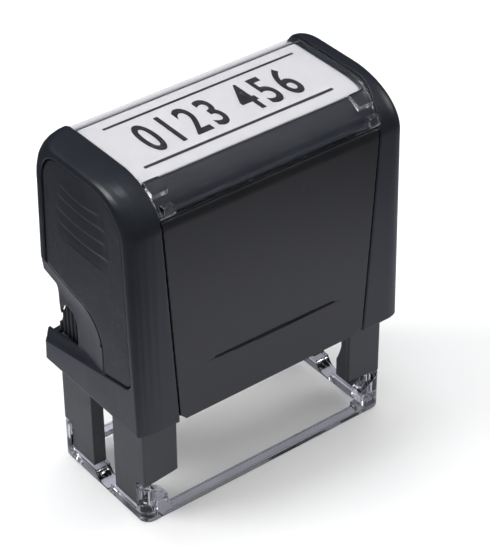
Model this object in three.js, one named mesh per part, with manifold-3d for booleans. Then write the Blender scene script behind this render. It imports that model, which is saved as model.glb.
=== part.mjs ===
// Self-inking stamp: a sprung cap slides down over a frame while the die carriage hung in it turns half
// over, from the ink pad above it to the sheet below it. Millimetres, +Z up, +X along the stamp, -Y front.
// The origin is on the ground under the middle of the stamp.
import * as THREE from "three";
import { mergeVertices } from "three/addons/utils/BufferGeometryUtils.js";
import Module from "manifold-3d";

const wasm = await Module();
wasm.setup();

// ---- Driving dimensions -------------------------------------------------------------------------
const GAP = 0.3; // between pieces that touch
const TRAVEL = 23; // stroke of the cap

const CAP_END = 38.7; // half the length of the cap
const CAP_DEPTH = 20.1; // half the depth of the cap in its middle
const CAP_BOTTOM = 29.5;
const CAP_TOP = 93.9;
const CAVITY_END = 36.6;
const CAVITY_FRONT = 17.7;
const CAVITY_TOP = 90;
const RIM_INNER = 31; // where the end rims start at the top
const RIM_INNER_RIGHT = 34.6; // the right rim is narrower there, and the index window longer
const RIM_FOOT = 27.6; // where they start at the bottom
const PANEL_TOP = 86.5;
const PANEL_BED = 18.4;
const CREASE_Z = 43.1;
const CREASE_ENDS = [[-23.5, 43.6], [24, 42.9]];
const END_BED = 37.5;
const SCOOP_FLOOR = 37.3; // bottom of the finger hollows
const END_MARGIN = 1.2;

const FRAME_END = 34.9; // half the length of the frame
const LEG_FACE = 36; // outer face of the legs, beside the way of the yoke's arms
const FRAME_WALL = 2.4;
const FRAME_INNER = FRAME_END - FRAME_WALL;
const FRAME_DEPTH = 16.7; // half its depth at the legs
const NECK_DEPTH = 15.4; // half its depth above the shoulder of the legs
const FLANGE_EDGE = 26.2;
const FLANGE_WALL = 1.4;
const FRAME_FOOT = 3.7;
const FRAME_TOP = 60;
const SLOT_HALF = 4.5;
const BRIDGE_Z = 52.3;
const SKIRT_TOP = 62.5;

const BASE_END = 36.5;
const BASE_DEPTH = 17.4;
const BASE_BOTTOM = 0.3;
const BASE_TOP = FRAME_FOOT - GAP;
const SIDE_TOP = 2;
const POST_TOP = 10.6;

const AXLE_Z = 32.7;
const AXLE_R = 1.6;
const BORE_R = 1.7;
const GUIDE_R = 1.1;
const GUIDE_ARM = 5.5; // from the axle to the guide pin
const CHEEK_R = 7.2;
const CARRIAGE_END = 31.9;
const CARRIAGE_DEPTH = 10.5;
const PRINT_END = 29; // half the length of the text plate
const PRINT_HEIGHT = 9.3; // from the axle to the printing face

const PAD_FACE = AXLE_Z + PRINT_HEIGHT + 0.8;
const TRAY_END = 32;
const TRAY_TOP = 50.3;
const GRIP_IN = FRAME_END + GAP;
const GRIP_OUT = CAVITY_END - GAP;
const LEDGE_REAR = 35.2; // top of the ledge below the finger hollow, at the rear
const LEDGE_SLOPE = 0.195;
const REAR_WINDOW_TOP = 73.6;

const ARM_HALF = 4;
const SPRING_R = 4.4;
const WIRE_R = 0.55;
const SPRING_LOW = BRIDGE_Z + 1.2 + GAP;
const YOKE_LOW = 86.7;

// ---- Solids -------------------------------------------------------------------------------------
function solidOf(geometry) {
  const bare = geometry.index ? geometry.toNonIndexed() : geometry.clone();
  const plain = new THREE.BufferGeometry().setAttribute("position", bare.getAttribute("position"));
  const merged = mergeVertices(plain, 1e-4);
  return new wasm.Manifold(
    new wasm.Mesh({
      numProp: 3,
      vertProperties: merged.attributes.position.array,
      triVerts: new Uint32Array(merged.index.array),
    }),
  );
}

const join = (...solids) => solids.reduce((sum, solid) => sum.add(solid));
const cut = (solid, ...tools) => tools.reduce((left, tool) => left.subtract(tool), solid);

function box(x0, x1, y0, y1, z0, z1) {
  const geometry = new THREE.BoxGeometry(x1 - x0, y1 - y0, z1 - z0);
  return solidOf(geometry.translate((x0 + x1) / 2, (y0 + y1) / 2, (z0 + z1) / 2));
}

// A box that is centred on X and Y.
const slab = (halfX, halfY, z0, z1) => box(-halfX, halfX, -halfY, halfY, z0, z1);

// What a builder makes at the +1 and at the -1 side, and a range of places on a side, lowest first.
const bothSides = (build) => [build(1), build(-1)];
const onSide = (side, near, far) => [near * side, far * side].sort((a, b) => a - b);

const AXES = {
  x: [[0, 1, 0], [0, 0, 1], [1, 0, 0]], // a shape drawn in Y and Z, deep along X
  y: [[1, 0, 0], [0, 0, 1], [0, -1, 0]], // drawn in X and Z, deep along -Y
  z: [[1, 0, 0], [0, 1, 0], [0, 0, 1]],
};

// A prism of an outline along an axis, between two places on it.
function prism(outline, axis, from, to, curveSegments = 12) {
  const shape = Array.isArray(outline) ? new THREE.Shape(outline.map(([u, v]) => new THREE.Vector2(u, v))) : outline;
  const geometry = new THREE.ExtrudeGeometry(shape, { depth: to - from, bevelEnabled: false, curveSegments });
  geometry.translate(0, 0, axis === "y" ? -to : from);
  const turn = new THREE.Matrix4().makeBasis(...AXES[axis].map((column) => new THREE.Vector3(...column)));
  return solidOf(geometry.applyMatrix4(turn));
}

function cylinder(axis, radius, from, to, [u, v], sides = 24) {
  const shape = new THREE.Shape().absarc(u, v, radius, 0, 2 * Math.PI);
  return prism(shape, axis, from, to, sides / 2);
}

function roundedRect(halfU, halfV, radius, [u, v] = [0, 0]) {
  const shape = new THREE.Shape();
  const corners = [[1, -1, -Math.PI / 2], [1, 1, 0], [-1, 1, Math.PI / 2], [-1, -1, Math.PI]];
  for (const [su, sv, start] of corners) {
    shape.absarc(u + su * (halfU - radius), v + sv * (halfV - radius), radius, start, start + Math.PI / 2);
  }
  return shape;
}

// A closed body through rings of points; each ring is { x, outline } with outline points in Y and Z.
function loft(rings) {
  const count = rings[0].outline.length;
  const points = rings.flatMap(({ x, outline }) => outline.map(([y, z]) => [x, y, z]));
  const faces = [];
  for (let r = 0; r + 1 < rings.length; r++) {
    for (let j = 0; j < count; j++) {
      const [a, b] = [r * count + j, r * count + ((j + 1) % count)];
      faces.push([a, b + count, a + count], [a, b, b + count]);
    }
  }
  const ends = [rings[0], rings.at(-1)].map(({ outline }) =>
    THREE.ShapeUtils.triangulateShape(outline.map(([y, z]) => new THREE.Vector2(y, z)), []),
  );
  faces.push(...ends[0].map(([a, b, c]) => [a, c, b]));
  faces.push(...ends[1].map((face) => face.map((k) => k + (rings.length - 1) * count)));
  const positions = new Float32Array(faces.flat().flatMap((k) => points[k]));
  return solidOf(new THREE.BufferGeometry().setAttribute("position", new THREE.BufferAttribute(positions, 3)));
}

const object = new THREE.Group();

function material(color, roughness, metalness = 0, opacity = 1) {
  return new THREE.MeshStandardMaterial({ color, roughness, metalness, opacity, transparent: opacity < 1 });
}

// Adds a solid as a named mesh; mirrored puts a piece built at +X at the -X end.
function place(name, solid, look, mirrored = false) {
  const { vertProperties, triVerts } = solid.getMesh();
  const geometry = new THREE.BufferGeometry();
  geometry.setAttribute("position", new THREE.BufferAttribute(new Float32Array(vertProperties), 3));
  geometry.setIndex(new THREE.BufferAttribute(new Uint32Array(triVerts), 1));
  geometry.computeVertexNormals();
  const mesh = new THREE.Mesh(geometry, look());
  mesh.name = name;
  if (mirrored) mesh.scale.x = -1;
  object.add(mesh);
}

function placeBothEnds(name, solid, look) {
  place(`${name}_right`, solid, look);
  place(`${name}_left`, solid, look, true);
}

const glossBlack = () => material(0x24272c, 0.25);
const satinBlack = () => material(0x303238, 0.5);
const frameBlack = () => material(0x26282c, 0.4);
const clearPlastic = () => material(0xd8d8de, 0.1, 0, 0.35);
const rubber = () => material(0x8a3c32, 0.8);
const darkRubber = () => material(0x202022, 0.9);
const paper = () => material(0xe1dee4, 0.85);
const foam = () => material(0xb8b4a8, 0.95);
const felt = () => material(0x1a1c30, 0.95);
const steel = () => material(0xb0b2b6, 0.3, 1);

// ---- Cap: outlines ------------------------------------------------------------------------------
const ARC_STEPS = 28;

function ellipseArc(centreY, centreZ, radiusY, radiusZ, fromAngle, toAngle, steps = ARC_STEPS) {
  return Array.from({ length: steps + 1 }, (_, k) => {
    const angle = fromAngle + ((toAngle - fromAngle) * k) / steps;
    return [centreY + radiusY * Math.cos(angle), centreZ + radiusZ * Math.sin(angle)];
  });
}

// An arch in Y and Z, standing on the bottom edge of the cap; front is -Y and has the longer curve.
function arch({ bottomHalf, topHalf, frontRadius, rearRadius, radiusZ, top, low = CAP_BOTTOM }) {
  const spring = top - radiusZ;
  return [
    [-bottomHalf, low],
    [bottomHalf, low],
    ...ellipseArc(topHalf - rearRadius, spring, rearRadius, radiusZ, 0, Math.PI / 2),
    ...ellipseArc(frontRadius - topHalf, spring, frontRadius, radiusZ, Math.PI / 2, Math.PI),
  ];
}

const middleArch = (drop = 0, low = CAP_BOTTOM) =>
  arch({
    bottomHalf: CAP_DEPTH - drop,
    topHalf: CAP_DEPTH - drop,
    frontRadius: 15.1 - drop,
    rearRadius: 6,
    radiusZ: 9.9,
    top: CAP_TOP - drop,
    low,
  });

// Front shoulder of each end panel, along Y and Z.
const RIGHT_SHOULDER = [17, 9.8];
const LEFT_SHOULDER = [11, 9.3];

// The arch of an end rim: at share 0 it is the middle arch, at share 1 the edge of the end face.
function rimArch(share, [shoulderY, shoulderZ]) {
  const at = (middle, end) => middle + (end - middle) * share;
  return arch({
    bottomHalf: at(CAP_DEPTH, 18.7),
    topHalf: at(CAP_DEPTH, 16.7),
    frontRadius: at(15.1, shoulderY + 2),
    rearRadius: at(6, 7.5),
    radiusZ: at(9.9, shoulderZ + 1.2),
    top: at(CAP_TOP, 92),
  });
}

// A loft from -X to +X through rings given for the +X half, outermost first.
const mirroredLoft = (rings) =>
  loft([...rings.map(({ x, outline }) => ({ x: -x, outline })), ...rings.toReversed()]);

// Rings that round an end of the cap over from the middle arch at a place to the end face.
function rimRings(inner, shoulder) {
  const steps = 6;
  return Array.from({ length: steps + 1 }, (_, k) => {
    const angle = (k * Math.PI) / 2 / steps;
    return { x: inner + (CAP_END - inner) * Math.sin(angle), outline: rimArch(1 - Math.cos(angle), shoulder) };
  });
}

function capBody() {
  const left = rimRings(RIM_INNER - 0.4, LEFT_SHOULDER).map(({ x, outline }) => ({ x: -x, outline }));
  return loft([...left.reverse(), ...rimRings(RIM_INNER_RIGHT, RIGHT_SHOULDER)]);
}

function capCavity() {
  const hollow = (bottomHalf, topHalf) =>
    arch({
      bottomHalf,
      topHalf,
      frontRadius: 12.5,
      rearRadius: 9,
      radiusZ: 10,
      top: CAVITY_TOP,
      low: CAP_BOTTOM - 1,
    });
  const behindPanel = box(-CAP_END, CAP_END, -CAVITY_FRONT, CAP_DEPTH, 0, CAP_TOP);
  return mirroredLoft([
    { x: CAVITY_END, outline: hollow(17.8, 16.4) },
    { x: RIM_INNER - 0.4, outline: hollow(18.3, 18.2) },
  ]).intersect(behindPanel);
}

// ---- Cap: front panel and its bed ---------------------------------------------------------------
const PANEL_NOTCH = 1.6; // chamfer at the lower corners of the front panel

function panelOutline(inset, low) {
  const edge = (z) => RIM_FOOT + ((RIM_INNER - RIM_FOOT) * (z - CAP_BOTTOM)) / (PANEL_TOP - CAP_BOTTOM) - inset;
  const top = PANEL_TOP - inset;
  return [
    [-edge(low), low + PANEL_NOTCH],
    [-edge(low) + PANEL_NOTCH, low],
    [edge(low) - PANEL_NOTCH, low],
    [edge(low), low + PANEL_NOTCH],
    [edge(top), top],
    [-edge(top), top],
  ];
}

function panelBed() {
  const bed = prism(panelOutline(0, CAP_BOTTOM), "y", -CAP_DEPTH - 1, -PANEL_BED);
  const belowNotch = box(-RIM_FOOT, RIM_FOOT, -CAP_DEPTH - 1, -PANEL_BED, CAP_BOTTOM - 1, CAP_BOTTOM + PANEL_NOTCH);
  return join(bed, belowNotch);
}

function frontPanel() {
  const blank = prism(panelOutline(0.35, CAP_BOTTOM), "y", -CAP_DEPTH, -PANEL_BED - GAP);
  const face = loft([-RIM_INNER, RIM_INNER].map((x) => ({ x, outline: middleArch(0.1, CAP_BOTTOM - 1) })));
  const [creaseLeft, creaseRight] = CREASE_ENDS;
  const crease = new THREE.Shape()
    .moveTo(...creaseLeft)
    .quadraticCurveTo(0, CREASE_Z - 1, ...creaseRight)
    .quadraticCurveTo(0, CREASE_Z + 1, ...creaseLeft);
  return cut(blank.intersect(face), prism(crease, "y", -CAP_DEPTH - 1, -CAP_DEPTH + 0.6));
}

// ---- Cap: end panels, finger hollows and rear window --------------------------------------------
const ledge = (y) => LEDGE_REAR + LEDGE_SLOPE * (18 - y);

// The outline of the finger hollow at a given depth, from 0 at the outer face to 1 at its floor.
function hollowOutline(depth, grow = 0) {
  const at = (outer, floor) => outer + (floor - outer) * depth;
  const [front, knee, top, radius] = [at(-5.4, 5.2) - grow, at(45.5, 45), at(55.8, 51) + grow, at(10, 4.6) + grow];
  const low = (y) => ledge(y) + at(0, 3.2) - grow;
  const rear = CAP_DEPTH + 2;
  const arc = ellipseArc(front + radius, knee, radius, top - knee, Math.PI / 2, Math.PI, 14);
  return [[front, low(front)], [rear, low(rear)], [rear, top + at(5, 1.5)], ...arc];
}

// What lies beside an end of the cap inside the finger hollow's edge.
const besideHollow = (grow) => prism(hollowOutline(0, grow), "x", CAVITY_END - 1, CAP_END + 2);

// A shallow scoop with a crisp edge; its floor opens in an arch at the pad's grip and all the way at the rear.
function fingerHollow() {
  const steps = 8;
  const edge = END_BED + 0.8;
  const rings = Array.from({ length: steps + 1 }, (_, k) => {
    const rise = (k / steps) ** 1.5;
    return { x: SCOOP_FLOOR + (edge - SCOOP_FLOOR) * rise, outline: hollowOutline(1 - k / steps) };
  });
  const hole = new THREE.Shape()
    .moveTo(6.4, 40)
    .lineTo(CAP_DEPTH + 2, 37.4)
    .lineTo(CAP_DEPTH + 2, 56.2)
    .lineTo(13.8, 53.8)
    .lineTo(13.4, 47)
    .lineTo(13, 45.6)
    .absellipse(9.7, 45, 3.3, 4.4, 0.14, Math.PI, false);
  return join(loft([...rings, { x: CAP_END + 1, outline: hollowOutline(0) }]), prism(hole, "x", CAVITY_END - 1, CAP_END, 8));
}

function endPanelOutline(margin, [shoulderY, shoulderZ]) {
  const { PI } = Math;
  const [half, lowHalf, corner] = [16.7 - margin, 18.2 - margin, 3];
  const top = 92 - margin;
  const lowZ = (y) => ledge(y) + margin * Math.hypot(1, LEDGE_SLOPE) - END_MARGIN;
  return [
    ...ellipseArc(corner - lowHalf, lowZ(corner - lowHalf) + corner, corner, corner, PI, 1.5 * PI, 6),
    [lowHalf, lowZ(lowHalf)],
    ...ellipseArc(half - 7, top - 8, 7, 8, 0, PI / 2),
    ...ellipseArc(shoulderY - half, top - shoulderZ, shoulderY, shoulderZ, PI / 2, PI),
  ];
}

function endPanel(shoulder) {
  const outer = CAP_END - 0.35;
  const plate = prism(endPanelOutline(END_MARGIN + GAP, shoulder), "x", END_BED + GAP, outer);
  const ribs = [0, 1, 2, 3].map((k) => {
    const z = 84.8 - 3.6 * k;
    const half = 7.6 + 0.7 * k;
    const rib = new THREE.Shape().moveTo(-half, z).quadraticCurveTo(0, z + 1.6, half, z);
    rib.quadraticCurveTo(0, z - 3.4, -half, z);
    return prism(rib, "x", outer - 0.1, outer + 0.35, 8);
  });
  return cut(join(plate, ...ribs), besideHollow(GAP));
}

function rearWindow() {
  return box(-CAVITY_END, CAVITY_END, 13, CAP_DEPTH + 1, LEDGE_REAR + 1.2, REAR_WINDOW_TOP);
}

// ---- Cap: index window and card -----------------------------------------------------------------
const WINDOW_SINK = 0.4; // below the tops of the rims
const WINDOW_WALL = 1.1;
const WINDOW_LEFT = 0.6 - RIM_INNER;
const WINDOW_RIGHT = RIM_INNER_RIGHT - 0.3;
const CARD_SINK = WINDOW_SINK + WINDOW_WALL + 0.15;
const CARD_THICK = 0.3;
const CARD_ENDS = [-30.3, 32.2];
const CARD_SIDES = [-11, 15.8]; // front and rear edges

// The part of the body between two depths below the middle arch, over an outline in X and Y.
function topBand(outerDrop, innerDrop, plan) {
  const under = (drop, reach) => mirroredLoft([{ x: reach, outline: middleArch(drop) }]);
  const keep = prism(plan, "z", PANEL_TOP, CAP_TOP + 2);
  return cut(under(outerDrop, CAP_END), under(innerDrop, CAP_END + 1)).intersect(keep);
}

// The window's outline: its right end widens from the front panel's corner up to the narrow rim.
function windowPlan(grow) {
  const curve = [[31, -20.1], [31.6, -17.5], [32.4, -15], [33.4, -12.6], [34.1, -10], [WINDOW_RIGHT, -7]];
  const right = curve.map(([x, y]) => [x - 0.4 + grow, y]);
  return [
    [WINDOW_LEFT - grow, -CAP_DEPTH - 2],
    [right[0][0], -CAP_DEPTH - 2],
    ...right,
    [right.at(-1)[0], CAP_DEPTH + 2],
    [WINDOW_LEFT - grow, CAP_DEPTH + 2],
  ];
}

const CLIP_HALF = 2.1;
const CLIPS_AT = [-28.3, 29.4];

function indexWindow() {
  const sheet = topBand(WINDOW_SINK, WINDOW_SINK + WINDOW_WALL, windowPlan(0));
  const wedge = [[-16, 90], [-16, 91.5], [-12.4, 93.1], [-12.4, 91.2]];
  const clips = CLIPS_AT.map((x) => prism(wedge, "x", x - CLIP_HALF, x + CLIP_HALF));
  const bosses = CLIPS_AT.map((x) => prism(roundedRect(1.5, 1.2, 0.4, [x, 88.4]), "y", -CAP_DEPTH + 0.4, -17.6, 3));
  const underRear = box(-CAP_END, CAP_END, 12, CAP_DEPTH + 2, PANEL_TOP - 1, PANEL_TOP + GAP);
  return join(cut(sheet, underRear), ...clips, ...bosses);
}

function windowPocket() {
  const pocket = topBand(-1, CARD_SINK + CARD_THICK + 0.2, windowPlan(GAP));
  const clipBeds = CLIPS_AT.map((x) => {
    const reach = CLIP_HALF + GAP;
    return box(x - reach, Math.min(x + reach, RIM_INNER), -CAP_DEPTH - 1, -CAVITY_FRONT, PANEL_TOP, CAP_TOP);
  });
  return join(pocket, ...clipBeds);
}

function indexCard() {
  const [left, right] = CARD_ENDS;
  const [front, rear] = CARD_SIDES;
  return topBand(CARD_SINK, CARD_SINK + CARD_THICK, [[left, front], [right, front], [right, rear], [left, rear]]);
}

// ---- Cap assembly -------------------------------------------------------------------------------
function capShell() {
  const endCuts = (shoulder) => {
    const panelSpace = prism(endPanelOutline(END_MARGIN, shoulder), "x", END_BED, CAP_END + 1);
    return join(cut(panelSpace, besideHollow(0)), fingerHollow());
  };
  const ends = [endCuts(RIGHT_SHOULDER), endCuts(LEFT_SHOULDER).mirror([1, 0, 0])];
  return cut(capBody(), capCavity(), panelBed(), windowPocket(), rearWindow(), ...ends);
}

// The crossbar under the top of the cap, with an arm down each end that holds the axle.
function driveYoke() {
  const [armIn, armOut] = [FRAME_END + GAP, CAVITY_END - GAP];
  const [armLow, armHigh] = [AXLE_Z - ARM_HALF, YOKE_LOW + 1];
  const bar = slab(armOut, 4.5, YOKE_LOW, CAVITY_TOP - GAP);
  const pilot = cylinder("z", SPRING_R - WIRE_R - 0.5, YOKE_LOW - 6, YOKE_LOW + 1, [0, 0]);
  const outline = roundedRect(ARM_HALF, (armHigh - armLow) / 2, ARM_HALF - 0.1, [0, (armHigh + armLow) / 2]);
  const arms = bothSides((side) => {
    const [from, to] = onSide(side, armIn, armOut);
    return cut(prism(outline, "x", from, to, 6), cylinder("x", AXLE_R + GAP, from - 1, to + 1, [0, AXLE_Z]));
  });
  return join(bar, pilot, ...arms);
}

function axlePin() {
  const shaft = cylinder("x", AXLE_R, CARRIAGE_END - 1.9, CAVITY_END - GAP, [0, AXLE_Z]);
  const collar = cylinder("x", 3, CARRIAGE_END + GAP, FRAME_END, [0, AXLE_Z]);
  return join(shaft, collar);
}

// ---- Spring -------------------------------------------------------------------------------------
class Helix extends THREE.Curve {
  constructor(radius, low, high, turns) {
    super();
    Object.assign(this, { radius, low, high, turns });
  }
  getPoint(t, target = new THREE.Vector3()) {
    const angle = 2 * Math.PI * this.turns * t;
    const height = this.low + (this.high - this.low) * t;
    return target.set(this.radius * Math.cos(angle), this.radius * Math.sin(angle), height);
  }
}

function returnSpring() {
  const turns = 7;
  const path = new Helix(SPRING_R, SPRING_LOW + WIRE_R, YOKE_LOW - GAP - WIRE_R, turns);
  const wire = new THREE.Shape().absarc(0, 0, WIRE_R, 0, 2 * Math.PI);
  const options = { steps: turns * 14, extrudePath: path, curveSegments: 3, bevelEnabled: false };
  return solidOf(new THREE.ExtrudeGeometry(wire, options));
}

// ---- Frame --------------------------------------------------------------------------------------
const LEG_SHOULDER = 38;

function legOutline(inset) {
  const low = FRAME_FOOT - (inset ? 1 : 0);
  const top = FRAME_TOP + (inset ? 1 : 0);
  const [wide, narrow] = [FRAME_DEPTH - inset, NECK_DEPTH - inset];
  const side = [[wide, low], [wide, LEG_SHOULDER], [narrow, LEG_SHOULDER + 3], [narrow, top]];
  return [...side, ...side.map(([y, z]) => [-y, z]).reverse()];
}

// Where the guide pin runs while the axle drops by TRAVEL and the carriage turns half over.
function guidePath(angle) {
  return [-GUIDE_ARM * Math.sin(angle), AXLE_Z - (TRAVEL * angle) / Math.PI + GUIDE_ARM * Math.cos(angle)];
}

function guideGroove() {
  const half = GUIDE_R + 0.4;
  const steps = 28;
  const sides = [[], []];
  for (let k = 0; k <= steps; k++) {
    const angle = (Math.PI * k) / steps;
    const slope = [-GUIDE_ARM * Math.cos(angle), -TRAVEL / Math.PI - GUIDE_ARM * Math.sin(angle)];
    const length = Math.hypot(...slope);
    const along = k === 0 ? -half : k === steps ? half : 0;
    const [y, z] = guidePath(angle);
    [1, -1].forEach((side, i) =>
      sides[i].push([
        y + (side * half * slope[1] + along * slope[0]) / length,
        z + (-side * half * slope[0] + along * slope[1]) / length,
      ]),
    );
  }
  return prism([...sides[0], ...sides[1].reverse()], "x", FRAME_INNER - 1, FRAME_INNER + 1.3);
}

function frameEnd() {
  const channel = cut(
    prism(legOutline(0), "x", FLANGE_EDGE, FRAME_END),
    prism(legOutline(FLANGE_WALL), "x", FLANGE_EDGE - 1, FRAME_INNER),
  );
  const legs = slab(LEG_FACE, FRAME_DEPTH, FRAME_FOOT, LEG_SHOULDER - 1.2).intersect(
    box(FRAME_END - 0.5, LEG_FACE, -FRAME_DEPTH, FRAME_DEPTH, 0, FRAME_TOP),
  );
  const armWay = box(FRAME_END, LEG_FACE + 1, -ARM_HALF - GAP, ARM_HALF + GAP, 0, LEG_SHOULDER);
  const slot = box(FRAME_INNER - 1, LEG_FACE + 1, -SLOT_HALF, SLOT_HALF, FRAME_FOOT - 1, AXLE_Z + 5.3);
  const flangeFoot = [
    [FLANGE_EDGE - 1, 12.2],
    [LEG_FACE + 1, 10.9],
    [LEG_FACE + 1, FRAME_FOOT - 1],
    [FLANGE_EDGE - 1, FRAME_FOOT - 1],
  ];
  const corners = bothSides((side) => prism(flangeFoot, "y", ...onSide(side, 13.5, FRAME_DEPTH + 1)));
  const trayWay = box(FLANGE_EDGE - 1, TRAY_END + GAP, 12, FRAME_DEPTH + 1, PAD_FACE - GAP, TRAY_TOP + 0.5);
  const neckWay = box(FRAME_INNER - 1, FRAME_END + 1, 7.2, FRAME_DEPTH + 1, 43.6, 48.4);
  return cut(join(channel, cut(legs, armWay)), slot, ...corners, trayWay, neckWay, guideGroove());
}

function frameBridge() {
  const wellR = SPRING_R + WIRE_R + 0.7;
  const [floor, well] = [BRIDGE_Z + 1.2, FRAME_TOP + 2];
  const plate = slab(FRAME_INNER - GAP, NECK_DEPTH - FLANGE_WALL - GAP, BRIDGE_Z, BRIDGE_Z + 2);
  const tower = cylinder("z", wellR + 1.4, BRIDGE_Z, well, [0, 0], 32);
  const skirtEnd = FLANGE_EDGE - GAP;
  const skirts = bothSides((side) => box(-skirtEnd, skirtEnd, ...onSide(side, 13.7, 15.1), BRIDGE_Z, SKIRT_TOP));
  const ribs = [-20, -10, 10, 20].map((x) => box(x - 0.7, x + 0.7, -13.8, 13.8, BRIDGE_Z + 1, 57));
  const spine = slab(FRAME_INNER - GAP, 0.7, BRIDGE_Z + 1, FRAME_TOP);
  return cut(join(plate, tower, ...skirts, ...ribs, spine), cylinder("z", wellR, floor, well + 1, [0, 0], 32));
}

// ---- Clear base ---------------------------------------------------------------------------------
const PAD_HALF = [1.7, 1.4];
const PAD_AT = [33.4, 15.4];

function baseFoot() {
  const ring = prism(roundedRect(BASE_END, BASE_DEPTH, 2.6), "z", BASE_BOTTOM, BASE_TOP, 6);
  const printWindow = prism(roundedRect(CARRIAGE_END + 0.3, 14.7, 1), "z", -1, BASE_TOP + 1, 4);
  const sideCuts = bothSides((side) => box(-28.5, 28.5, ...onSide(side, 14, BASE_DEPTH + 1), SIDE_TOP, BASE_TOP + 1));
  const postShape = [[29.8, BASE_TOP - 1], [BASE_END, BASE_TOP - 1], [BASE_END, POST_TOP], [35.2, POST_TOP], [29.8, 7]];
  const posts = footPlaces().map(([x, y]) => {
    const outline = postShape.map(([u, v]) => [u * Math.sign(x), v]);
    const post = prism(outline, "y", ...onSide(Math.sign(y), 13.8, BASE_DEPTH));
    return cut(post, cylinder("z", 0.9, 4.5, POST_TOP + 1, [x, y], 12));
  });
  const keep = prism(roundedRect(BASE_END, BASE_DEPTH, 2.6), "z", BASE_BOTTOM, POST_TOP, 6);
  const notches = cylinder("x", 3.1, -BASE_END - 1, BASE_END + 1, [0, BASE_TOP + 0.4]);
  const padBeds = footPlaces().map(([x, y]) =>
    prism(roundedRect(PAD_HALF[0] + 0.2, PAD_HALF[1] + 0.2, 0.6, [x, y]), "z", -1, 1.2, 4),
  );
  return cut(join(ring, ...posts).intersect(keep), printWindow, ...sideCuts, notches, ...padBeds);
}

function footPlaces() {
  return bothSides((sx) => bothSides((sy) => [sx * PAD_AT[0], sy * PAD_AT[1]])).flat();
}

// ---- Die carriage -------------------------------------------------------------------------------
function dieCarriage() {
  const deck = slab(CARRIAGE_END, CARRIAGE_DEPTH, AXLE_Z + 4.2, AXLE_Z + 6.2);
  const rails = bothSides((side) => {
    const [from, to] = onSide(side, CARRIAGE_DEPTH - 1.2, CARRIAGE_DEPTH);
    return box(-CARRIAGE_END, CARRIAGE_END, from, to, AXLE_Z + 1.5, AXLE_Z + 5);
  });
  const ribs = [-18, -6, 6, 18].map((x) => box(x - 0.6, x + 0.6, -9.6, 9.6, AXLE_Z + 2, AXLE_Z + 5));
  const cheeks = bothSides((side) => {
    const [from, to] = onSide(side, CARRIAGE_END - 2, CARRIAGE_END);
    const disc = cylinder("x", CHEEK_R, from, to, [0, AXLE_Z], 36);
    const bore = cylinder("x", BORE_R, from - 1, to + 1, [0, AXLE_Z]);
    const guideHole = cylinder("x", GUIDE_R + 0.2, from - 1, to + 1, [0, AXLE_Z + GUIDE_ARM], 16);
    return { disc, holes: join(bore, guideHole) };
  });
  const solid = join(deck, ...rails, ...ribs, ...cheeks.map(({ disc }) => disc));
  return cut(solid, ...cheeks.map(({ holes }) => holes));
}

function guidePin() {
  return cylinder("x", GUIDE_R, CARRIAGE_END - 1.8, FRAME_INNER + 1, [0, AXLE_Z + GUIDE_ARM], 16);
}

function plateCushion() {
  return prism(roundedRect(PRINT_END + 0.3, 10.2, 0.6), "z", AXLE_Z + 6.4, AXLE_Z + 7.4, 4);
}

// Digits of straight strokes: each stroke is [x0, z0, x1, z1] in a cell 1 wide and 2 high.
const STROKES = {
  a: [0, 2, 1, 2],
  b: [1, 1, 1, 2],
  c: [1, 0, 1, 1],
  d: [0, 0, 1, 0],
  e: [0, 0, 0, 1],
  f: [0, 1, 0, 2],
  g: [0, 1, 1, 1],
};
const DIGITS = { 0: "abcdef", 1: "bc", 2: "abged", 3: "abgcd", 4: "fgbc", 5: "afgcd", 6: "afgedc" };
const PRINT = "0123 456";

// Two rules with a line of digits between them, standing on the rubber plate and reading mirrored.
function printRelief(low, high) {
  const [cellWidth, cellHeight, pitch, stroke] = [3.4, 5.2, 6.4, 0.65];
  const rules = [-8.6, 8.6].map((y) => box(-26.5, 26.5, y - 0.3, y + 0.3, low, high));
  const start = (-pitch * (PRINT.length - 1)) / 2 - cellWidth / 2;
  const digits = [...PRINT].flatMap((digit, k) =>
    [...(DIGITS[digit] ?? "")].map((name) => {
      const [u0, v0, u1, v1] = STROKES[name];
      const [x0, x1] = [u0, u1].map((u) => -(start + pitch * k + cellWidth * u)).sort((p, q) => p - q);
      const [y0, y1] = [v0, v1].map((v) => cellHeight * (v - 1));
      return box(x0 - stroke, x1 + stroke, y0 - stroke, y1 + stroke, low, high);
    }),
  );
  return join(...rules, ...digits);
}

function textPlate() {
  const [back, face, top] = [7.6, 8.6, PRINT_HEIGHT].map((z) => AXLE_Z + z);
  return join(prism(roundedRect(PRINT_END, 10, 0.5), "z", back, face, 4), printRelief(face - 0.2, top));
}

// ---- Ink pad cassette ---------------------------------------------------------------------------
const TRAY_FRONT = -11.6;
const TRAY_REAR = 16.9;

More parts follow.
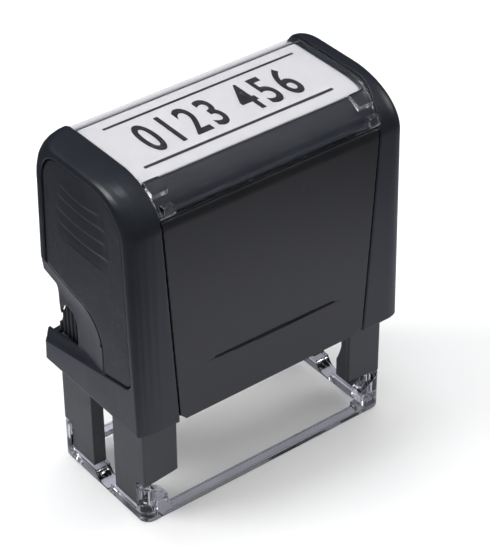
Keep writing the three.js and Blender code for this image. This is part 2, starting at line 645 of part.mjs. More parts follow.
function padTray() {
  const shell = box(-TRAY_END, TRAY_END, TRAY_FRONT, TRAY_REAR, PAD_FACE + 0.7, TRAY_TOP);
  const well = box(-30.2, 30.2, -10.4, 10.7, PAD_FACE - 1, 48.9);
  const rearRelief = box(-30.6, 30.6, 11.9, 15.5, PAD_FACE - 1, 48.9);
  const outline = new THREE.Shape()
    .moveTo(5.4, 38.2)
    .lineTo(16.8, 38.2)
    .lineTo(15.2, 42)
    .lineTo(14, 45.2)
    .quadraticCurveTo(12.9, 49.8, 9.8, 50)
    .quadraticCurveTo(5.4, 49.8, 5.4, 45);
  const grips = bothSides((side) => {
    const plate = prism(outline, "x", ...onSide(side, GRIP_IN, GRIP_OUT - 0.5), 6);
    const ribs = [47.6, 48.8, 49.4, 48.6, 45.6, 41.4].map((top, k) => {
      const y = 7.2 + 1.6 * k;
      return box(...onSide(side, GRIP_IN + 0.2, GRIP_OUT), y - 0.42, y + 0.42, 38.6, top);
    });
    const neck = box(...onSide(side, TRAY_END - 1, GRIP_IN + 0.2), 8, 13.4, 44, 47.6);
    return join(plate, neck, ...ribs);
  });
  return join(cut(shell, well, rearRelief), ...grips);
}

function inkPad() {
  return prism(roundedRect(29.9, 10.25, 0.8, [0, 0.15]), "z", PAD_FACE, 48.6, 4);
}

// ---- Assembly -----------------------------------------------------------------------------------
place("cap_shell", capShell(), satinBlack);
place("front_panel", frontPanel(), glossBlack);
place("end_panel_right", endPanel(RIGHT_SHOULDER), satinBlack);
place("end_panel_left", endPanel(LEFT_SHOULDER), satinBlack, true);
place("index_window", indexWindow(), clearPlastic);
place("index_card", indexCard(), paper);
place("drive_yoke", driveYoke(), frameBlack);
placeBothEnds("axle_pin", axlePin(), steel);
place("return_spring", returnSpring(), steel);

placeBothEnds("frame_end", frameEnd(), frameBlack);
place("frame_bridge", frameBridge(), frameBlack);
place("base_foot", baseFoot(), clearPlastic);
footPlaces().forEach(([x, y], k) => {
  place(`foot_pad_${k + 1}`, prism(roundedRect(...PAD_HALF, 0.5, [x, y]), "z", 0, 0.9, 4), darkRubber);
});

place("die_carriage", dieCarriage(), frameBlack);
placeBothEnds("guide_pin", guidePin(), steel);
place("plate_cushion", plateCushion(), foam);
place("text_plate", textPlate(), rubber);
place("pad_tray", padTray(), satinBlack);
place("ink_pad", inkPad(), felt);

export default object;
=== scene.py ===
"""A self-inking stamp: moulded cap, clear index window, slotted frame on a clear base, ink pad and die."""
import math

import bmesh
import bpy
import numpy as np
from mathutils import Matrix, Vector


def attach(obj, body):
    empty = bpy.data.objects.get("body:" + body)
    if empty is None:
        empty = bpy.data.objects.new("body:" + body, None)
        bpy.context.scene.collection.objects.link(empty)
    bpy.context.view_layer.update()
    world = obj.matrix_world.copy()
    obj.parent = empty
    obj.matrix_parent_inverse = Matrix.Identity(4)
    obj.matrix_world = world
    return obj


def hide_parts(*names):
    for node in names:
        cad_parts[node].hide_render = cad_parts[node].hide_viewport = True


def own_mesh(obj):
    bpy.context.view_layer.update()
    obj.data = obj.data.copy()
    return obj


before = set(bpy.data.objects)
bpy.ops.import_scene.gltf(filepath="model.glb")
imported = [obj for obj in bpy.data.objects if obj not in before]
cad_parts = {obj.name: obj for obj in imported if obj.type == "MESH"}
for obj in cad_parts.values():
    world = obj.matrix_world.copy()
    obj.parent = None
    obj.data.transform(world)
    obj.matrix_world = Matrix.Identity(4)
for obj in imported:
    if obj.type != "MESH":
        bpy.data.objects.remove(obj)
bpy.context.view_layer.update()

MM = 0.001
COARSE = 1.0  # how much larger the voxels are while trying things
scene = bpy.context.scene

# ---- Dimensions shared with the CAD, in mm ------------------------------------------------------
CAP_DEPTH, CAP_TOP = 20.1, 93.9
FRONT_RADIUS, REAR_RADIUS, ARCH_RISE = 15.1, 6.0, 9.9
CARD_DROP = 1.65
END_FACE = 38.35  # outer face of the end panels
AXLE_Z = 32.7
SPRING_RADIUS, WIRE_RADIUS = 4.4, 0.55
SPRING_LOW, SPRING_HIGH = 53.8, 86.4
PRINT = "0123 456"
DIGITS_SIZE = (12.2, 43)  # height and length of the digits
RIDGE_RISE = 0.75  # how far the grip ridges stand out and sink in
# The grip ridges' heights, and their front and rear ends
GRIP_RIDGES = ((84.8, -7, 8), (81.7, -8.9, 9.4), (77.9, -8.8, 9.8), (74.2, -10, 9.7))
PLATE_HALF_LENGTH, PLATE_HALF_DEPTH = 29, 10
PLATE_LOW, PLATE_HIGH = AXLE_Z + 7.6, AXLE_Z + 8.6
RELIEF_LOW, RELIEF_HIGH = AXLE_Z + 8.5, AXLE_Z + 9.3
GUIDE_PIN_Z = AXLE_Z + 5.5
THIN_WALL_FROM, THIN_WALL_SHARE = 13.4, 0.86  # where the window is shaded as a thin wall, and how strongly
WORLD_LIGHT = 0.75

# The floor's painted pool of light fading to painted dark, as gloss sees it, in metres
POOL_CENTRE = (0.025, 0.0, 0.0)
FLOOR_POOL = (0.08, 0.16)  # where the reflection starts and ends its fade, from the pool's centre
NEAR_FLOOR = (0.07, 0.09)  # up to where rays through clear plastic see the pool, from the pool's centre
FRONT_FLOOR = (-0.06, -0.02)  # the same along Y, in front of the stamp


# ---- Node helpers -------------------------------------------------------------------------------
class Finish:
    """A Principled material and short ways to feed it from textures in object coordinates."""

    def __init__(self, name, colour, roughness, **sockets):
        self.material = bpy.data.materials.new(name)
        self.material.use_nodes = True
        self.tree = self.material.node_tree
        self.shader = self.tree.nodes["Principled BSDF"]
        self.output = self.tree.nodes["Material Output"]
        self.set("Base Color", (*colour, 1))
        self.set("Roughness", roughness)
        for socket, value in sockets.items():
            self.set(socket.replace("_", " "), value)
        self.place = self.node("ShaderNodeTexCoord").outputs["Object"]

    def node(self, kind, **settings):
        made = self.tree.nodes.new(kind)
        for key, value in settings.items():
            setattr(made, key, value)
        return made

    def set(self, socket, value):
        self.shader.inputs[socket].default_value = value

    def link(self, source, target):
        self.tree.links.new(source, target)

    def feed(self, socket, source):
        """Links an output to one of the shader's sockets."""
        self.link(source, self.shader.inputs[socket])

    def maths(self, operation, first, second, **settings):
        """The result of an operation on two outputs."""
        node = self.node("ShaderNodeMath", operation=operation, **settings)
        self.link(first, node.inputs[0])
        self.link(second, node.inputs[1])
        return node.outputs[0]

    def along_y(self):
        """The place along Y, in metres."""
        sides = self.node("ShaderNodeSeparateXYZ")
        self.link(self.place, sides.inputs[0])
        return sides.outputs["Y"]

    def noise(self, size, detail=2.0, stretch=(1, 1, 1), distortion=0.0):
        """Noise with features of a size in mm."""
        texture = self.node("ShaderNodeTexNoise")
        texture.inputs["Scale"].default_value = 1 / (size * MM)
        texture.inputs["Detail"].default_value = detail
        texture.inputs["Distortion"].default_value = distortion
        mapping = self.node("ShaderNodeMapping")
        mapping.inputs["Scale"].default_value = stretch
        self.link(self.place, mapping.inputs["Vector"])
        self.link(mapping.outputs["Vector"], texture.inputs["Vector"])
        return texture.outputs["Fac"]

    def spread(self, source, low, high, source_low=0.3, source_high=0.7):
        """A value that runs from low to high as the source runs over its range."""
        ramp = self.node("ShaderNodeMapRange")
        limits = {"From Min": source_low, "From Max": source_high, "To Min": low, "To Max": high}
        for socket, value in limits.items():
            ramp.inputs[socket].default_value = value
        self.link(source, ramp.inputs["Value"])
        return ramp.outputs["Result"]

    def blend(self, factor, dark, light):
        """A colour between two, each a colour or an output."""
        mix = self.node("ShaderNodeMix", data_type="RGBA")
        self.link(factor, mix.inputs["Factor"])
        for socket, value in ((mix.inputs[6], dark), (mix.inputs[7], light)):
            if isinstance(value, tuple):
                socket.default_value = (*value, 1)
            else:
                self.link(value, socket)
        return mix.outputs[2]

    def bump(self, height, depth, strength=1.0, onto=None):
        """Adds relief of a depth in mm, on top of other relief if given."""
        bump = self.node("ShaderNodeBump")
        bump.inputs["Strength"].default_value = strength
        bump.inputs["Distance"].default_value = depth * MM
        self.link(height, bump.inputs["Height"])
        if onto:
            self.link(onto, bump.inputs["Normal"])
        self.feed("Normal", bump.outputs["Normal"])
        return bump.outputs["Normal"]

    def edges(self, low=0.55, high=0.68):
        """1 along outer edges of a finely divided mesh, 0 elsewhere."""
        return self.spread(self.node("ShaderNodeNewGeometry").outputs["Pointiness"], 0.0, 1.0, low, high)


def moulded_plastic(name, colour, edge_colour, roughness, grain, depth):
    """Black moulded plastic: fine grain, uneven gloss, faint handling marks and paler, polished edges."""
    finish = Finish(name, colour, sum(roughness) / 2, IOR=1.5)
    mottle = finish.noise(9, 3)
    marks = finish.noise(1.6, 6, stretch=(1, 1, 0.35), distortion=0.6)
    shade = finish.blend(finish.spread(mottle, 0, 1), colour, tuple(1.18 * c for c in colour))
    finish.feed("Base Color", finish.blend(finish.edges(), shade, edge_colour))
    uneven = finish.spread(mottle, *roughness)
    finish.feed("Roughness", finish.maths("ADD", uneven, finish.spread(marks, -0.015, 0.025)))
    skin = finish.bump(finish.noise(grain, 3), depth)
    finish.bump(finish.noise(14, 1), 0.05, 0.4, onto=skin)
    return finish.material


def clear_plastic(name, thin_from=None):
    """Polished clear plastic that lets lamps through, with faint flow marks.

    Behind thin_from, a Y in mm, it is mostly a thin wall that light goes straight through.
    """
    finish = Finish(name, (0.945, 0.945, 0.96), 0.03, IOR=1.49, Transmission_Weight=1.0)
    finish.feed("Roughness", finish.spread(finish.noise(6, 4), 0.015, 0.06))
    finish.bump(finish.noise(3.5, 2, stretch=(0.4, 1, 1)), 0.01, 0.5)
    path = finish.node("ShaderNodeLightPath")
    through = finish.node("ShaderNodeBsdfTransparent")
    through.inputs["Color"].default_value = (0.88, 0.88, 0.9, 1)
    straight = path.outputs["Is Shadow Ray"]
    if thin_from is not None:
        thin = finish.spread(finish.along_y(), 0, THIN_WALL_SHARE, thin_from * MM, (thin_from + 1) * MM)
        straight = finish.maths("MAXIMUM", straight, thin)
    mix = finish.node("ShaderNodeMixShader")
    finish.link(straight, mix.inputs["Fac"])
    finish.link(finish.shader.outputs["BSDF"], mix.inputs[1])
    finish.link(through.outputs["BSDF"], mix.inputs[2])
    finish.link(mix.outputs["Shader"], finish.output.inputs["Surface"])
    return finish.material


def card_paper():
    """Smooth coated card with a faint fibre and cloudy whiteness."""
    colour = (0.605, 0.595, 0.59)
    finish = Finish("card_paper", colour, 0.6)
    cloud = finish.spread(finish.noise(4, 5), 0, 1)
    finish.feed("Base Color", finish.blend(cloud, tuple(0.965 * c for c in colour), colour))
    finish.feed("Roughness", finish.spread(finish.noise(1.2, 4), 0.5, 0.7))
    finish.bump(finish.noise(0.18, 5, stretch=(0.5, 1, 1)), 0.012)
    return finish.material


def printed_black():
    """Toner black with thin spots where the card's fibre shows."""
    finish = Finish("printed_black", (0.007, 0.0065, 0.007), 0.5)
    thin = finish.spread(finish.noise(0.25, 4), 0, 1, 0.55, 0.8)
    finish.feed("Base Color", finish.blend(thin, (0.006, 0.0055, 0.006), (0.02, 0.019, 0.02)))
    finish.bump(finish.noise(0.2, 3), 0.01)
    return finish.material


def drawn_steel(name, along, roughness=(0.22, 0.38)):
    """Drawn steel: fine lines along the wire or pin, uneven polish."""
    finish = Finish(name, (0.58, 0.585, 0.6), 0.3, Metallic=1.0)
    lines = finish.noise(0.12, 3, stretch=along)
    tint = finish.blend(finish.spread(finish.noise(2, 3), 0, 1), (0.5, 0.5, 0.52), (0.64, 0.64, 0.65))
    finish.feed("Base Color", tint)
    finish.feed("Roughness", finish.spread(lines, *roughness))
    finish.bump(lines, 0.01)
    return finish.material


def soft_rubber(name, dark, light, roughness, speck=0.35):
    """Rubber: dusty bloom over a matte base, with a fine ground skin."""
    finish = Finish(name, dark, roughness)
    bloom = finish.spread(finish.noise(3, 5), 0, 1)
    finish.feed("Base Color", finish.blend(bloom, dark, light))
    finish.feed("Roughness", finish.spread(finish.noise(1, 4), roughness - 0.08, roughness + 0.08))
    finish.bump(finish.noise(speck, 4), 0.03)
    return finish.material


def porous_foam():
    """Closed-cell foam: round cells of uneven size, pale and matte, with painted shade down in the cell
    pits.
    """
    finish = Finish("porous_foam", (0.5, 0.48, 0.42), 0.9)
    cells = finish.node("ShaderNodeTexVoronoi")
    cells.inputs["Scale"].default_value = 1 / (0.35 * MM)
    finish.link(finish.place, cells.inputs["Vector"])
    depth = finish.spread(cells.outputs["Distance"], 0, 1, 0.1, 0.6)
    # Painted shade: the colour darkens down into each cell's pit, following the same depth as the bump.
    finish.feed("Base Color", finish.blend(depth, (0.3, 0.28, 0.24), (0.55, 0.53, 0.47)))
    finish.feed("Roughness", finish.spread(finish.noise(2, 3), 0.82, 0.98))
    finish.bump(depth, 0.08)
    return finish.material


def inked_felt():
    """Felt soaked in black ink: matted fibres, wetter and darker in patches."""
    finish = Finish("inked_felt", (0.012, 0.012, 0.02), 0.7, Sheen_Weight=0.25, Sheen_Roughness=0.5)
    wet = finish.spread(finish.noise(5, 4), 0, 1)
    finish.feed("Base Color", finish.blend(wet, (0.006, 0.006, 0.012), (0.024, 0.024, 0.036)))
    finish.feed("Roughness", finish.spread(finish.noise(4, 3), 0.35, 0.85))
    fibres = finish.noise(0.22, 6, stretch=(0.35, 1, 1), distortion=2.5)
    mat = finish.bump(fibres, 0.09)
    finish.bump(finish.noise(1.4, 3), 0.12, 0.6, onto=mat)
    return finish.material


def studio_floor():
    """A pale matte sweep whose colour, for mirrored rays, is a painted pool of light fading into a painted
    dark studio.

    Rays through clear plastic see that painted pool too where they land near the stamp or in front of it, so
    it shows there as painted shade.
    """
    finish = Finish("studio_floor", (0.9, 0.9, 0.9), 0.9)
    pale = finish.blend(finish.spread(finish.noise(60, 3), 0, 1), (0.9, 0.9, 0.9), (0.915, 0.915, 0.915))
    reach = finish.node("ShaderNodeVectorMath", operation="DISTANCE")
    reach.inputs[1].default_value = POOL_CENTRE
    finish.link(finish.place, reach.inputs[0])
    fade = finish.spread(reach.outputs["Value"], 0, 1, *FLOOR_POOL)
    # Painted reflection: for mirrored rays the floor's colour is a lit pool near the stamp that fades to
    # dark further away.
    pool = finish.blend(fade, (0.58, 0.59, 0.655), (0.03, 0.033, 0.04))
    path = finish.node("ShaderNodeLightPath")
    in_front = finish.spread(finish.along_y(), 1, 0, *FRONT_FLOOR)
    near = finish.maths("MAXIMUM", in_front, finish.spread(reach.outputs["Value"], 1, 0, *NEAR_FLOOR))
    through = finish.maths("MULTIPLY", path.outputs["Is Transmission Ray"], near)
    pooled = finish.maths("ADD", path.outputs["Glossy Depth"], through, use_clamp=True)
    finish.feed("Base Color", finish.blend(pooled, pale, pool))
    return finish.material


CAP_BLACK = moulded_plastic("cap_black", (0.009, 0.011, 0.016), (0.02, 0.023, 0.03), (0.3, 0.38), 0.3, 0.006)
PANEL_BLACK = moulded_plastic(
    "panel_black", (0.01, 0.01, 0.0115), (0.012, 0.012, 0.014), (0.2, 0.26), 0.35, 0.002
)
GRIP_BLACK = moulded_plastic(
    "grip_black", (0.013, 0.015, 0.02), (0.024, 0.027, 0.034), (0.42, 0.52), 0.26, 0.014
)
PAD_BLACK = moulded_plastic(
    "pad_black", (0.005, 0.0055, 0.007), (0.016, 0.018, 0.022), (0.4, 0.5), 0.26, 0.01
)
FRAME_BLACK = moulded_plastic(
    "frame_black", (0.028, 0.029, 0.032), (0.05, 0.052, 0.056), (0.36, 0.46), 0.3, 0.008
)
INNER_BLACK = moulded_plastic(
    "inner_black", (0.014, 0.015, 0.017), (0.035, 0.036, 0.04), (0.35, 0.45), 0.3, 0.01
)
CLEAR = clear_plastic("base_clear")
WINDOW_CLEAR = clear_plastic("window_clear", THIN_WALL_FROM)
PAPER = card_paper()
INK = printed_black()
WIRE = drawn_steel("spring_wire", (1, 1, 0.25))
PIN = drawn_steel("pin_steel", (0.15, 1, 1), (0.18, 0.3))
PLATE_RUBBER = soft_rubber("plate_rubber", (0.3, 0.085, 0.062), (0.4, 0.16, 0.13), 0.68)
FOOT_RUBBER = soft_rubber("foot_rubber", (0.2, 0.2, 0.21), (0.27, 0.27, 0.28), 0.8, 0.25)
FOAM = porous_foam()
FELT = inked_felt()


# ---- Mesh helpers -------------------------------------------------------------------------------
def piece_of(name, mesh, body, material, replaced=()):
    """A finished piece in the scene, riding on its body."""
    mesh.name = name
    mesh.materials.clear()
    mesh.materials.append(material)
    piece = bpy.data.objects.new(name, mesh)
    scene.collection.objects.link(piece)
    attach(piece, body)
    if replaced:
        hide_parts(*replaced)
    return piece


def moulded_piece(name, node, body, material, voxel, rounds, keep):
    """A piece made by softening one CAD node, which it replaces."""
    return piece_of(name, softened(merged_copy(node), voxel, rounds, keep), body, material, [node])


def merged_copy(node):
    """A copy of a CAD node's mesh with its doubled points merged."""
    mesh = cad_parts[node].data.copy()
    bm = bmesh.new()
    bm.from_mesh(mesh)
    bmesh.ops.remove_doubles(bm, verts=bm.verts, dist=1e-6)
    bm.to_mesh(mesh)
    bm.free()
    return mesh


def with_modifiers(mesh, *modifiers):
    """The mesh after modifiers, each a kind and its settings."""
    holder = bpy.data.objects.new("holder", mesh)
    scene.collection.objects.link(holder)
    for kind, settings in modifiers:
        modifier = holder.modifiers.new(kind, kind)
        for key, value in settings.items():
            setattr(modifier, key, value)
    shaped = bpy.data.meshes.new_from_object(holder.evaluated_get(bpy.context.evaluated_depsgraph_get()))
    bpy.data.objects.remove(holder)
    return shaped


def softened(mesh, voxel, rounds, keep):
    """The mesh as a moulding with rounded edges, from voxels of a size in mm, thinned to a share."""
    return with_modifiers(
        mesh,
        ("REMESH", {"mode": "VOXEL", "voxel_size": voxel * COARSE * MM, "use_smooth_shade": True}),
        ("SMOOTH", {"iterations": rounds, "factor": 0.5}),
        ("DECIMATE", {"ratio": keep}),
        ("WEIGHTED_NORMAL", {"weight": 80}),
    )


def bevelled(mesh, width, segments):
    """The mesh with its sharp edges rounded over a width in mm."""
    settings = {"width": width * MM, "segments": segments, "limit_method": "ANGLE", "harden_normals": True}
    return with_modifiers(mesh, ("BEVEL", settings))


def tube_faces(bm, rings):
    """Faces between closed rings of points, and over the two ends."""
    for a, b in zip(rings, rings[1:]):
        for j in range(len(a)):
            k = (j + 1) % len(a)
            bm.faces.new((a[j], a[k], b[k], b[j]))
    bm.faces.new(rings[0])
    bm.faces.new(rings[-1])


def mirrored(mesh):
    """The same mesh at the other end of the stamp."""
    other = mesh.copy()
    other.transform(Matrix.Scale(-1, 4, (1, 0, 0)))
    other.flip_normals()
    return other


def coordinates(mesh):
    points = np.zeros(len(mesh.vertices) * 3, np.float32)
    mesh.vertices.foreach_get("co", points)
    return points.reshape(-1, 3)


def moved_to(mesh, points):
    mesh.vertices.foreach_set("co", points.astype(np.float32).ravel())
    mesh.update()
    return mesh


def smooth_mesh(bm):
    """A new smooth-shaded mesh out of a bmesh, with its normals outward."""
    bmesh.ops.recalc_face_normals(bm, faces=bm.faces)
    for face in bm.faces:
        face.smooth = True
    mesh = bpy.data.meshes.new("made")
    bm.to_mesh(mesh)
    bm.free()
    return mesh


# ---- Cap ----------------------------------------------------------------------------------------
def arch_height(y, drop):
    """Height of the cap's middle arch, lowered by drop, at a place front to back. All in mm."""
    front_radius = FRONT_RADIUS - drop
    front_centre = front_radius - (CAP_DEPTH - drop)
    rear_centre = CAP_DEPTH - drop - REAR_RADIUS
    over = np.maximum(np.maximum((front_centre - y) / front_radius, (y - rear_centre) / REAR_RADIUS), 0)
    return CAP_TOP - drop - ARCH_RISE * (1 - np.sqrt(np.clip(1 - over * over, 0, 1)))


def grip_ridges(y, z):
    """Outward relief in mm of the four swept ridges on an end panel."""
    relief = np.zeros_like(y)
    for height, front, rear in GRIP_RIDGES:
        along = np.clip((y - front) / (rear - front), 0, 1)
        taper = np.clip(np.sin(math.pi * along), 0, 1) ** 0.6
        above = z - (height - 0.9 * np.sin(math.pi * along))
        wave = np.tanh(above / 0.6) * np.exp(-np.abs(above) / 1.6)
        relief += RIDGE_RISE * taper * wave * ((y > front) & (y < rear))
    return relief


def end_panel_mesh(side):
    """An end panel with its ridges; side is 1 at the right end and -1 at the left."""
    mesh = softened(merged_copy("end_panel_right" if side > 0 else "end_panel_left"), 0.2, 2, 1.0)
    points = coordinates(mesh)
    x, y, z = points.T / MM
    out = x * side
    outer = out > END_FACE - 0.25
    flat = np.where(outer, np.minimum(out, END_FACE), out)
    in_field = outer & (z > 70) & (np.abs(y) < 12)
    points[:, 0] = np.where(in_field, flat + grip_ridges(y, z), flat) * side * MM
    moved_to(mesh, points)
    return with_modifiers(mesh, ("SMOOTH", {"iterations": 1, "factor": 0.5}), ("DECIMATE", {"ratio": 0.6}))


def digits_mesh(height, width, depth):
    """The printed digits as a solid mesh centred on the origin, of a height and width in mm."""
    text = bpy.data.curves.new("digits", "FONT")
    text.body = PRINT
    text.align_x, text.align_y = "CENTER", "CENTER"
    text.offset = 0.016
    text.space_character = 1.22
    text.extrude = 0.5
    text.resolution_u = 6
    holder = bpy.data.objects.new("digits", text)
    scene.collection.objects.link(holder)
    mesh = bpy.data.meshes.new_from_object(holder.evaluated_get(bpy.context.evaluated_depsgraph_get()))
    bpy.data.objects.remove(holder)
    points = coordinates(mesh)
    low, high = points.min(0), points.max(0)
    scale = np.array([width, height, depth]) * MM / (high - low)
    return moved_to(mesh, (points - (low + high) / 2) * scale)


def joined(meshes):
    bm = bmesh.new()
    for mesh in meshes:
        bm.from_mesh(mesh)
    made = bpy.data.meshes.new("joined")
    bm.to_mesh(made)
    bm.free()
    return made


def strip_mesh(x0, x1, y0, y1, low, high, columns=60):
    """A thin flat strip divided along X, in mm."""
    bm = bmesh.new()
    rings = []
    for k in range(columns + 1):
        x = x0 + (x1 - x0) * k / columns
        corners = ((y0, low), (y1, low), (y1, high), (y0, high))
        rings.append([bm.verts.new((x * MM, y * MM, z * MM)) for y, z in corners])
    tube_faces(bm, rings)
    bmesh.ops.recalc_face_normals(bm, faces=bm.faces)
    mesh = bpy.data.meshes.new("strip")
    bm.to_mesh(mesh)
    bm.free()
    return mesh


def index_print_mesh():
    """Digits between two rules, laid on the arched card."""
    thick = 0.03
    digits = digits_mesh(*DIGITS_SIZE, thick)
    digits.transform(Matrix.Translation((0.5 * MM, 1.2 * MM, 0)))
    rules = [
        strip_mesh(-25, 29, 9.62, 10.38, -thick / 2, thick / 2),
        strip_mesh(-26.4, 26.6, -7.98, -7.22, -thick / 2, thick / 2),
    ]
    mesh = joined([digits, *rules])
    points = coordinates(mesh)
    points[:, 2] += (arch_height(points[:, 1] / MM, CARD_DROP) + 0.03) * MM
    return moved_to(mesh, points)


def card_mesh():
    """The index card: a thin sheet with rounded corners that follows the arch, dipped very slightly in
    places.
    """
    left, right, front, rear, radius, thick = -30.3, 32.2, -11, 15.8, 1.0, 0.26
    half, middle = (right - left) / 2, (right + left) / 2
    columns, rows = 96, 60
    bm = bmesh.new()
    grid = []
    for r in range(rows + 1):
        y = front + (rear - front) * r / rows
        inset = max(radius - (y - front), radius - (rear - y), 0)
        reach = half - radius + math.sqrt(max(radius * radius - inset * inset, 0))
        line = []
        for c in range(columns + 1):
            x = middle + reach * (2 * c / columns - 1)
            bow = 0.05 * math.sin(5.3 * x / half + 1.3) * math.cos(2.1 * (y - front) / (rear - front))
            height = float(arch_height(np.array(y), CARD_DROP)) + min(bow, 0)
            line.append(bm.verts.new((x * MM, y * MM, height * MM)))
        grid.append(line)
    for a, b in zip(grid, grid[1:]):
        for c in range(columns):
            bm.faces.new((a[c], a[c + 1], b[c + 1], b[c]))
    mesh = smooth_mesh(bm)
    return with_modifiers(mesh, ("SOLIDIFY", {"thickness": thick * MM, "offset": -1.0}))


moulded_piece("cap_moulding", "cap_shell", "cap", CAP_BLACK, 0.24, 2, 0.25)
moulded_piece("cap_front_panel", "front_panel", "cap", PANEL_BLACK, 0.2, 2, 0.4)
for end, side in (("left", -1), ("right", 1)):
    node = f"end_panel_{end}"
    piece_of(f"cap_{node}", end_panel_mesh(side), "cap", GRIP_BLACK, [node])
piece_of("index_card_sheet", card_mesh(), "cap", PAPER, ["index_card"])
piece_of("index_card_print", index_print_mesh(), "cap", INK)
moulded_piece("index_window_clear", "index_window", "window", WINDOW_CLEAR, 0.13, 1, 0.5)
moulded_piece("drive_yoke_moulding", "drive_yoke", "cap", INNER_BLACK, 0.3, 3, 0.3)


# ---- Spring and pins ----------------------------------------------------------------------------
def spring_mesh():
    """A compression spring with closed, squared ends, in round wire."""
    turns, steps, sides = 8.5, 300, 10
    end_turns = 0.9
    low, high = SPRING_LOW + WIRE_RADIUS, SPRING_HIGH - WIRE_RADIUS
    closed = end_turns * 2.05 * WIRE_RADIUS
    centres = []
    for k in range(steps + 1):
        turn = turns * k / steps
        if turn < end_turns:
            height = low + closed * turn / end_turns
        elif turn > turns - end_turns:
            height = high - closed * (turns - turn) / end_turns
        else:
            share = (turn - end_turns) / (turns - 2 * end_turns)
            height = low + closed + (high - low - 2 * closed) * share
        angle = 2 * math.pi * turn
        x, y = SPRING_RADIUS * math.cos(angle), SPRING_RADIUS * math.sin(angle)
        centres.append(Vector((x, y, height)) * MM)
    bm = bmesh.new()
    rings = []
    for k, centre in enumerate(centres):
        forward = (centres[min(k + 1, steps)] - centres[max(k - 1, 0)]).normalized()
        outward = Vector((centre.x, centre.y, 0)).normalized()
        across = forward.cross(outward).normalized()
        radius = WIRE_RADIUS * MM * (0.97 if 0 < k < steps else 0.8)
        angles = [2 * math.pi * j / sides for j in range(sides)]
        spokes = [math.cos(a) * outward + math.sin(a) * across for a in angles]
        rings.append([bm.verts.new(centre + radius * spoke) for spoke in spokes])
    tube_faces(bm, rings)
    return smooth_mesh(bm)


spring = piece_of("return_spring_wire", spring_mesh(), "frame", WIRE, ["return_spring"])
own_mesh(spring)


def pin_mesh(profile, height):
    """A turned pin along X through a height: profile is radius by X, in mm."""
    sides = 32
    bm = bmesh.new()
    rings = []
    for x, radius in profile:
        angles = [2 * math.pi * j / sides for j in range(sides)]
        around = [(radius * math.cos(a), height + radius * math.sin(a)) for a in angles]
        rings.append([bm.verts.new((x * MM, y * MM, z * MM)) for y, z in around])
    tube_faces(bm, rings)
    mesh = smooth_mesh(bm)
    return bevelled(mesh, 0.06, 2)


AXLE_PROFILE = (
    (30, 1.3), (30.3, 1.6), (32.2, 1.6), (32.2, 2.8), (32.4, 3),
    (34.7, 3), (34.9, 2.8), (34.9, 1.6), (36, 1.6), (36.3, 1.3),
)
GUIDE_PROFILE = ((30.1, 0.9), (30.3, 1.1), (33.3, 1.1), (33.5, 0.9))
PINS = (("axle_pin", AXLE_PROFILE, AXLE_Z, "cap"), ("guide_pin", GUIDE_PROFILE, GUIDE_PIN_Z, "carriage"))
for pin, profile, height, body in PINS:
    right = pin_mesh(profile, height)
    piece_of(f"{pin}_left_turned", mirrored(right), body, PIN, [f"{pin}_left"])
    piece_of(f"{pin}_right_turned", right, body, PIN, [f"{pin}_right"])


# ---- Frame, base and feet -----------------------------------------------------------------------
leg = softened(merged_copy("frame_end_right"), 0.25, 3, 0.35)
piece_of("frame_leg_left", mirrored(leg), "frame", FRAME_BLACK, ["frame_end_left"])
piece_of("frame_leg_right", leg, "frame", FRAME_BLACK, ["frame_end_right"])
moulded_piece("frame_bridge_moulding", "frame_bridge", "frame", INNER_BLACK, 0.3, 3, 0.3)
moulded_piece("base_clear", "base_foot", "frame", CLEAR, 0.2, 2, 0.5)
for number in range(1, 5):
    node = f"foot_pad_{number}"
    moulded_piece(f"{node}_rubber", node, "frame", FOOT_RUBBER, 0.1, 3, 0.5)

# ---- Die carriage and printing plate ------------------------------------------------------------
moulded_piece("die_carriage_moulding", "die_carriage", "carriage", INNER_BLACK, 0.28, 3, 0.3)


def relief_mesh():
    """The plate's raised rules and digits, reading mirrored, standing on its face."""
    digits = digits_mesh(*DIGITS_SIZE, RELIEF_HIGH - RELIEF_LOW)
    digits.transform(Matrix.Translation((0, 0, (RELIEF_LOW + RELIEF_HIGH) / 2 * MM)))
    rules = [strip_mesh(-26.5, 26.5, y - 0.3, y + 0.3, RELIEF_LOW, RELIEF_HIGH, 8) for y in (-8.6, 8.6)]
    mesh = joined([digits, *rules])
    mesh.transform(Matrix.Scale(-1, 4, (1, 0, 0)))
    mesh.flip_normals()
    return mesh


def slab_mesh(half_x, half_y, radius, low, high, edge=0.15):
    """A rounded rectangular slab with eased edges, in mm."""
    bm = bmesh.new()
    corners = ((1, -1, -90), (1, 1, 0), (-1, 1, 90), (-1, -1, 180))
    outline = []
    for sx, sy, start in corners:
        for k in range(7):
            angle = math.radians(start + 15 * k)
            x = sx * (half_x - radius) + radius * math.cos(angle)
            y = sy * (half_y - radius) + radius * math.sin(angle)
            outline.append((x, y))
    face = bm.faces.new([bm.verts.new((x * MM, y * MM, low * MM)) for x, y in outline])
    top = bmesh.ops.extrude_face_region(bm, geom=[face])["geom"]
    raised = [v for v in top if isinstance(v, bmesh.types.BMVert)]
    bmesh.ops.translate(bm, vec=(0, 0, (high - low) * MM), verts=raised)
    mesh = smooth_mesh(bm)
    return bevelled(mesh, edge, 3)


slab = slab_mesh(PLATE_HALF_LENGTH, PLATE_HALF_DEPTH, 0.5, PLATE_LOW, PLATE_HIGH)
plate = joined([slab, relief_mesh()])
piece_of("text_plate_rubber", plate, "carriage", PLATE_RUBBER, ["text_plate"])
cushion = moulded_piece("plate_cushion_foam", "plate_cushion", "carriage", FOAM, 0.25, 3, 1.0)

# ---- Ink pad cassette ---------------------------------------------------------------------------
moulded_piece("pad_tray_moulding", "pad_tray", "pad", PAD_BLACK, 0.18, 1, 0.35)
felt = moulded_piece("ink_pad_felt", "ink_pad", "pad", FELT, 0.35, 4, 1.0)

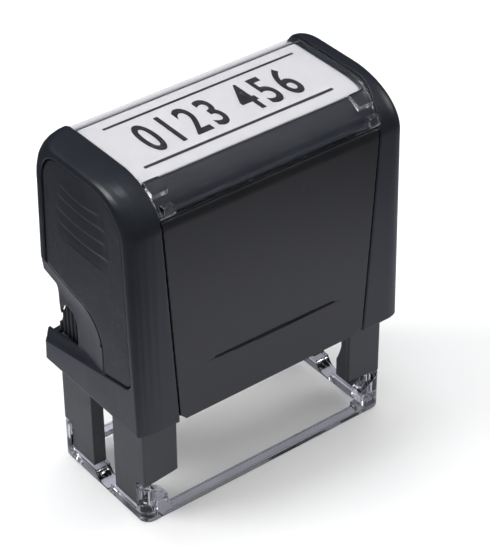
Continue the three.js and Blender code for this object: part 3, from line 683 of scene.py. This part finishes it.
# ---- Stage, light and camera --------------------------------------------------------------------
floor_mesh = bpy.data.meshes.new("floor")
bm = bmesh.new()
bmesh.ops.create_circle(bm, cap_ends=True, segments=96, radius=6)
bm.to_mesh(floor_mesh)
bm.free()
floor_mesh.materials.append(studio_floor())
floor = bpy.data.objects.new("floor", floor_mesh)
scene.collection.objects.link(floor)


def studio_world():
    """Even white light, which mirrored rays see as a studio dark at the horizon and pale overhead."""
    world = bpy.data.worlds.new("studio")
    world.use_nodes = True
    nodes, links = world.node_tree.nodes, world.node_tree.links
    even = nodes["Background"]
    even.inputs["Color"].default_value = (1, 1, 1, 1)
    even.inputs["Strength"].default_value = WORLD_LIGHT
    direction = nodes.new("ShaderNodeSeparateXYZ")
    links.new(nodes.new("ShaderNodeTexCoord").outputs["Generated"], direction.inputs["Vector"])
    ramp = nodes.new("ShaderNodeValToRGB")
    ramp.color_ramp.elements[0].position = 0.0
    ramp.color_ramp.elements[0].color = (0.03, 0.035, 0.042, 1)
    ramp.color_ramp.elements[1].position = 1.0
    ramp.color_ramp.elements[1].color = (0.42, 0.43, 0.46, 1)
    middle = ramp.color_ramp.elements.new(0.6)
    middle.color = (0.1, 0.105, 0.12, 1)
    links.new(direction.outputs["Z"], ramp.inputs["Fac"])
    seen = nodes.new("ShaderNodeBackground")
    links.new(ramp.outputs["Color"], seen.inputs["Color"])
    path = nodes.new("ShaderNodeLightPath")
    dark = nodes.new("ShaderNodeMath")  # 1 where mirroring bounces outnumber matte ones
    dark.operation = "SUBTRACT"
    dark.use_clamp = True
    links.new(path.outputs["Glossy Depth"], dark.inputs[0])
    links.new(path.outputs["Diffuse Depth"], dark.inputs[1])
    mix = nodes.new("ShaderNodeMixShader")
    links.new(dark.outputs[0], mix.inputs["Fac"])
    links.new(even.outputs["Background"], mix.inputs[1])
    links.new(seen.outputs["Background"], mix.inputs[2])
    links.new(mix.outputs["Shader"], nodes["World Output"].inputs["Surface"])
    return world


scene.world = studio_world()


def soft_light(name, place, size, power, colour=(1, 1, 1), mirrored=True):
    """A square area lamp that faces the middle of the stamp; mirrored if gloss sees it."""
    lamp = bpy.data.lights.new(name, "AREA")
    lamp.size = size
    lamp.energy = power
    lamp.color = colour
    holder = bpy.data.objects.new(name, lamp)
    holder.location = place
    holder.visible_glossy = mirrored
    holder.rotation_euler = (Vector((0, 0, 0.05)) - Vector(place)).to_track_quat("-Z", "Y").to_euler()
    scene.collection.objects.link(holder)


soft_light("key", (-0.8, 0.35, 1.1), 0.5, 8)
soft_light("fill", (1.35, -0.25, 0.75), 0.7, 5)
soft_light("top", (0.1, 0.2, 1.5), 0.9, 5, mirrored=False)
soft_light("overhead", (-0.05, 0.14, 1.2), 0.16, 1.1, (0.85, 0.93, 1))

AZIMUTH, ELEVATION, ROLL = (math.radians(angle) for angle in (-37.54, 36.4, -0.33))
DISTANCE = 0.5119
AIM = Vector((0.0035, -0.0044, 0.0483))

level = math.cos(ELEVATION)
back = Vector((math.sin(AZIMUTH) * level, -math.cos(AZIMUTH) * level, math.sin(ELEVATION)))
right = Matrix.Rotation(ROLL, 3, back) @ Vector((math.cos(AZIMUTH), math.sin(AZIMUTH), 0))
up = back.cross(right)
lens = bpy.data.cameras.new("camera")
lens.sensor_fit = "HORIZONTAL"
lens.sensor_width = 36
lens.lens = 159.03
camera = bpy.data.objects.new("camera", lens)
facing = Matrix((right, up, back)).transposed().to_4x4()
camera.matrix_world = Matrix.Translation(AIM + DISTANCE * back) @ facing
scene.collection.objects.link(camera)
scene.camera = camera
scene.view_settings.view_transform = "Standard"
